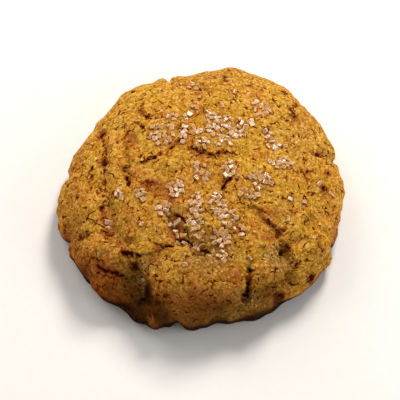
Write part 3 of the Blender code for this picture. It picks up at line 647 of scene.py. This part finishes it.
def build_sugar(dough):
    """All the crystals as one mesh: one chamfered block is modelled, and each is an uneven copy of it."""
    deselect_all()
    bpy.ops.mesh.primitive_cube_add(size=1)
    block = bpy.context.object
    bpy.ops.object.mode_set(mode="EDIT")
    bpy.ops.mesh.select_all(action="SELECT")
    bpy.ops.mesh.bevel(offset=CRYSTAL_CHAMFER, segments=1)
    bpy.ops.object.mode_set(mode="OBJECT")
    edge = block.data.attributes.new("edge", "FLOAT", "FACE")
    edge.data.foreach_set("value", [float(face.area < CHAMFER_AREA) for face in block.data.polygons])
    block.data.attributes.new("milky", "FLOAT", "FACE")

    draw = random.Random(SUGAR_SEED + 1)
    ground = BVHTree.FromObject(dough, bpy.context.evaluated_depsgraph_get())
    laid = laid_sugar(ground)
    darken_round_sugar(dough, [place for place, _, _, _ in laid])
    copies = []
    for place, outward, spin, size in laid:
        mesh = block.data.copy()
        skew = [Vector([draw.uniform(-1, 1) for _ in range(3)]) * CRYSTAL_SKEW for _ in range(8)]
        for vertex in mesh.vertices:
            corner = sum(1 << axis for axis in range(3) if vertex.co[axis] > 0)
            vertex.co += skew[corner]
        mesh.attributes["milky"].data.foreach_set("value", [draw.random()] * len(mesh.polygons))
        stand = outward.to_track_quat("Z", "Y").to_matrix().to_4x4()
        turned = Matrix.Translation(place) @ stand @ Matrix.Rotation(spin, 4, "Z")
        grow = Matrix.Diagonal((*(CRYSTAL_SWELL * side for side in size), 1))
        lift = Matrix.Translation((0, 0, 0.5 - CRYSTAL_SUNK))
        mesh.transform(turned @ Matrix.Scale(MM, 4) @ (grow @ lift))
        copy = bpy.data.objects.new("crystal", mesh)
        bpy.context.scene.collection.objects.link(copy)
        copies.append(copy)
    bpy.data.objects.remove(block)
    deselect_all()
    for copy in copies:
        copy.select_set(True)
    bpy.context.view_layer.objects.active = copies[0]
    bpy.ops.object.join()
    sugar = bpy.context.object
    sugar.name = sugar.data.name = "sugar_crystals"
    return sugar


# ==== Materials ===========================================================================================


def new_material(name):
    material = bpy.data.materials.new(name)
    material.use_nodes = True
    tree = material.node_tree
    return material, tree, tree.nodes["Principled BSDF"]


def attribute(tree, name):
    return node(tree, "ShaderNodeAttribute", {"attribute_name": name}).outputs["Fac"]


def mixed(tree, factor, a, b):
    """A colour mixed from two, each a socket or a linear colour; the factor is a socket or a number."""
    mix = node(tree, "ShaderNodeMix", {"data_type": "RGBA"})
    for index, value in ((0, factor), (6, a), (7, b)):
        if isinstance(value, bpy.types.NodeSocket):
            tree.links.new(value, mix.inputs[index])
        else:
            mix.inputs[index].default_value = value
    return mix.outputs[2]


def ramped(tree, value, low, high, to_low=0.0, to_high=1.0):
    """The value, of low to high, stretched to to_low to to_high and held there outside it."""
    remap = node(tree, "ShaderNodeMapRange", {
        "From Min": low, "From Max": high, "To Min": to_low, "To Max": to_high,
        "interpolation_type": "SMOOTHSTEP",
    }, Value=value)
    return remap.outputs["Result"]


def product(tree, a, b):
    return node(tree, "ShaderNodeMath", {"operation": "MULTIPLY"}, **{"0": a, "1": b}).outputs["Value"]


def speckle(tree, place, size_mm, detail, roughness=0.5):
    """Cloudy noise with a longest wave of the given size."""
    return node(tree, "ShaderNodeTexNoise", {
        "Scale": 1 / (size_mm * MM), "Detail": detail, "Roughness": roughness,
    }, Vector=place)


def baked_dough():
    """Baked peanut dough: golden, sandy and matt, toasted and with painted shade at the rim, and nearly black
    with painted shade deep in its cracks.
    """
    material, tree, shader = new_material("baked_peanut_dough")
    place = node(tree, "ShaderNodeTexCoord").outputs["Object"]
    toast_and_shade = attribute(tree, "toast_and_shade")
    hollow = attribute(tree, "hollow")
    rift = attribute(tree, "rift")
    underdone_and_shaded = attribute(tree, "underdone_and_shaded")
    crumb = attribute(tree, "grain")

    def cloud(size_mm, detail=3.0, roughness=0.6):
        return speckle(tree, place, size_mm, detail, roughness).outputs["Fac"]

    # Golden dough, warmer in broad clouds.
    broad = ramped(tree, cloud(9.0), 0.38, 0.66)
    colour = mixed(tree, broad, linear("#CC9824"), linear("#C8861E"))
    # Dull olive where the dough is underdone, and painted olive shade in the valley, the hollows and on the
    # rim at the front.
    colour = mixed(tree, underdone_and_shaded, colour, linear("#8E6C2C"))
    # Browning and painted shade: orange-brown first, then red-brown, and nearly black at the most toasted
    # edges and in the deepest painted shade.
    warm = mixed(tree, underdone_and_shaded, linear("#B4661C"), linear("#90641C"))
    colour = mixed(tree, ramped(tree, toast_and_shade, 0.0, 0.4), colour, warm)
    brown = mixed(tree, underdone_and_shaded, linear("#6E340A"), linear("#4E3610"))
    colour = mixed(tree, ramped(tree, toast_and_shade, 0.3, 0.7), colour, brown)
    colour = mixed(tree, ramped(tree, toast_and_shade, 0.6, 1.0), colour, linear("#221006"))
    # Sandy grain: pale flour and darker sugar, from 1.2 mm down to about 0.1 mm.
    sand = cloud(0.75, detail=3.0, roughness=0.75)
    dark = mixed(tree, ramped(tree, toast_and_shade, 0.3, 0.9), linear("#6A2600"), linear("#160800"))
    # Painted shade where the mesh's grain sinks.
    colour = mixed(tree, ramped(tree, crumb, 0.0, -0.5, 0, 0.3), colour, dark)
    colour = mixed(tree, ramped(tree, sand, 0.47, 0.37, 0, 0.62), colour, dark)
    pale = mixed(tree, ramped(tree, toast_and_shade, 0.0, 0.7), linear("#F4CA7C"), linear("#5C3614"))
    # Painted light where the mesh's grain stands up.
    colour = mixed(tree, ramped(tree, crumb, 0.0, 0.5, 0, 0.2), colour, pale)
    colour = mixed(tree, ramped(tree, sand, 0.53, 0.64, 0, 0.75), colour, pale)
    # Hairline cracks a few tenths of a millimetre wide, broken off where the crust held.
    warp = speckle(tree, place, 1.6, 2.0).outputs["Color"]
    bent = node(tree, "ShaderNodeVectorMath", {"operation": "MULTIPLY_ADD", "1": (1.1 * MM,) * 3},
                **{"0": warp, "2": place})

    def seams(size_mm, wide, narrow):
        return ramped(tree, node(tree, "ShaderNodeTexVoronoi", {
            "feature": "DISTANCE_TO_EDGE", "Scale": 1 / (size_mm * MM),
        }, Vector=bent.outputs["Vector"]).outputs["Distance"], wide, narrow)

    torn = ramped(tree, cloud(1.8, detail=2.0), 0.54, 0.60, 0, 1.0)
    hairline = product(tree, torn, seams(3.0, 0.07, 0.03))
    # Crumb: grains of dough a millimetre across, browner where they meet.
    meet = product(tree, seams(1.25, 0.20, 0.04), ramped(tree, cloud(3.0), 0.36, 0.62, 0.1, 0.42))
    colour = mixed(tree, meet, colour, dark)
    colour = mixed(tree, hairline, colour, linear("#581802"))
    # Sugar has run and darkened round the crystals, with painted shade at their feet.
    scorch_and_shade = ramped(tree, attribute(tree, "scorch_and_shade"), 0.0, 0.7)
    burnt_and_shade = product(tree, scorch_and_shade, ramped(tree, cloud(1.6, detail=2.0), 0.42, 0.62, 0.05, 0.7))
    colour = mixed(tree, burnt_and_shade, colour, linear("#7A380E"))
    # Specks of bran and burnt crumb, about half a millimetre.
    speck = node(tree, "ShaderNodeTexVoronoi", {"Scale": 1 / (1.3 * MM)}, Vector=place)
    few = ramped(tree, speck.outputs["Color"], 0.84, 0.90)
    dot = product(tree, few, ramped(tree, speck.outputs["Distance"], 0.32, 0.18))
    colour = mixed(tree, dot, colour, linear("#5A1E02"))
    # Painted shade, red-brown, deep in pores and cracks, duller in the underdone and shaded zones.
    deep = mixed(tree, underdone_and_shaded, linear("#702202"), linear("#34200A"))
    colour = mixed(tree, ramped(tree, hollow, 0.03, 0.3, 0, 0.95), colour, deep)
    # The named cracks, their edges frayed finer than the mesh, with painted shade that is nearly black at
    # their cores.
    fray = node(tree, "ShaderNodeMath", {"operation": "MULTIPLY_ADD", "1": 3.0},
                **{"0": cloud(0.7, detail=2.0), "2": rift}).outputs["Value"]
    colour = mixed(tree, ramped(tree, fray, 4.0, 2.8, 0, 0.7), colour, deep)
    colour = mixed(tree, ramped(tree, fray, 2.7, 2.1, 0, 0.95), colour, linear("#3C1002"))
    tree.links.new(colour, shader.inputs["Base Color"])

    shader.inputs["Roughness"].default_value = 0.75
    shader.inputs["IOR"].default_value = 1.4
    shader.inputs["Specular IOR Level"].default_value = 0.05
    grit = node(tree, "ShaderNodeBump", {"Strength": 0.5, "Distance": 0.3 * MM}, Height=sand)
    grains = node(tree, "ShaderNodeBump", {"Strength": 0.5, "Distance": 0.2 * MM, "invert": True},
                  Height=meet, Normal=grit.outputs["Normal"])
    slit = node(tree, "ShaderNodeBump", {"Strength": 0.6, "Distance": 0.3 * MM, "invert": True},
                Height=hairline, Normal=grains.outputs["Normal"])
    tree.links.new(slit.outputs["Normal"], shader.inputs["Normal"])
    return material


def sugar_crystal():
    """Coarse sugar: the dough seen through the clear ones is painted on as tan, the edges are pale with a
    painted highlight, and the milky ones are pale.
    """
    material, tree, shader = new_material("coarse_sugar")
    place = node(tree, "ShaderNodeTexCoord").outputs["Object"]
    flaw = speckle(tree, place, 0.8, 2.0).outputs["Fac"]
    milk = mixed(tree, ramped(tree, attribute(tree, "milky"), 0.2, 1.0), linear("#DEAA72"), linear("#F8D8C2"))
    # The tan of the dough seen through the clear crystals is painted on.
    colour = mixed(tree, ramped(tree, flaw, 0.44, 0.62), linear("#C89040"), milk)
    # Painted highlight along the chamfered edges.
    colour = mixed(tree, ramped(tree, attribute(tree, "edge"), 0, 1, 0, 0.4), colour, linear("#FFE6D0"))
    tree.links.new(colour, shader.inputs["Base Color"])
    shader.inputs["Roughness"].default_value = 0.24
    shader.inputs["Specular IOR Level"].default_value = 0.35
    shader.inputs["IOR"].default_value = 1.54
    shader.inputs["Transmission Weight"].default_value = 0.12
    shader.inputs["Subsurface Weight"].default_value = 0.5
    shader.inputs["Subsurface Radius"].default_value = (1.0, 0.8, 0.6)
    shader.inputs["Subsurface Scale"].default_value = 1.0 * MM
    return material


def pale_floor():
    """A matt, near-white board."""
    material, tree, shader = new_material("matt_white_board")
    place = node(tree, "ShaderNodeTexCoord").outputs["Object"]
    tooth = speckle(tree, place, 2.0, 2.0).outputs["Fac"]
    colour = mixed(tree, tooth, linear("#F4F3F1"), linear("#F8F8F7"))
    tree.links.new(colour, shader.inputs["Base Color"])
    shader.inputs["Roughness"].default_value = 0.9
    return material


# ==== Camera, light and floor =============================================================================


def place_camera():
    camera = bpy.data.objects.new("camera", bpy.data.cameras.new("camera"))
    bpy.context.scene.collection.objects.link(camera)
    tilt = math.radians(CAMERA_ELEVATION)
    back = Vector((0, -math.cos(tilt), math.sin(tilt)))
    camera.location = (Vector(CAMERA_TARGET) + CAMERA_DISTANCE * back) * MM
    camera.rotation_euler = (math.pi / 2 - tilt, 0, 0)
    camera.data.lens = CAMERA_LENS
    camera.data.sensor_width = CAMERA_SENSOR
    camera.data.clip_start = CAMERA_NEAR * MM
    bpy.context.scene.camera = camera


def soft_box(name, place, side, power, colour):
    """A square area light, turned to face the cookie."""
    light = bpy.data.objects.new(name, bpy.data.lights.new(name, "AREA"))
    light.data.size = side
    light.data.energy = power
    light.data.color = linear(colour)[:3]
    light.location = place
    light.rotation_euler = (Vector(LIGHT_TARGET) - Vector(place)).to_track_quat("-Z", "Y").to_euler()
    bpy.context.scene.collection.objects.link(light)


def light_and_floor():
    for box in SOFT_BOXES:
        soft_box(*box)
    world = bpy.data.worlds.new("studio")
    world.use_nodes = True
    background = world.node_tree.nodes["Background"]
    background.inputs["Color"].default_value = linear(STUDIO_GLOW)
    background.inputs["Strength"].default_value = STUDIO_GLOW_STRENGTH
    bpy.context.scene.world = world
    bpy.context.scene.view_settings.view_transform = "Standard"

    deselect_all()
    bpy.ops.mesh.primitive_grid_add(x_subdivisions=8, y_subdivisions=8, size=FLOOR_SIDE)
    floor = bpy.context.object
    floor.name = floor.data.name = "floor"
    floor.data.materials.append(pale_floor())


# ==== Everything together =================================================================================


def main():
    place_camera()
    light_and_floor()
    dough = build_dough()
    dough.data.materials.append(baked_dough())
    sugar = build_sugar(dough)
    sugar.data.materials.clear()
    sugar.data.materials.append(sugar_crystal())
    for piece, slot in ((dough, "crust"), (sugar, "sugar")):
        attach(piece, "root")
    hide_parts("cookie")


main()
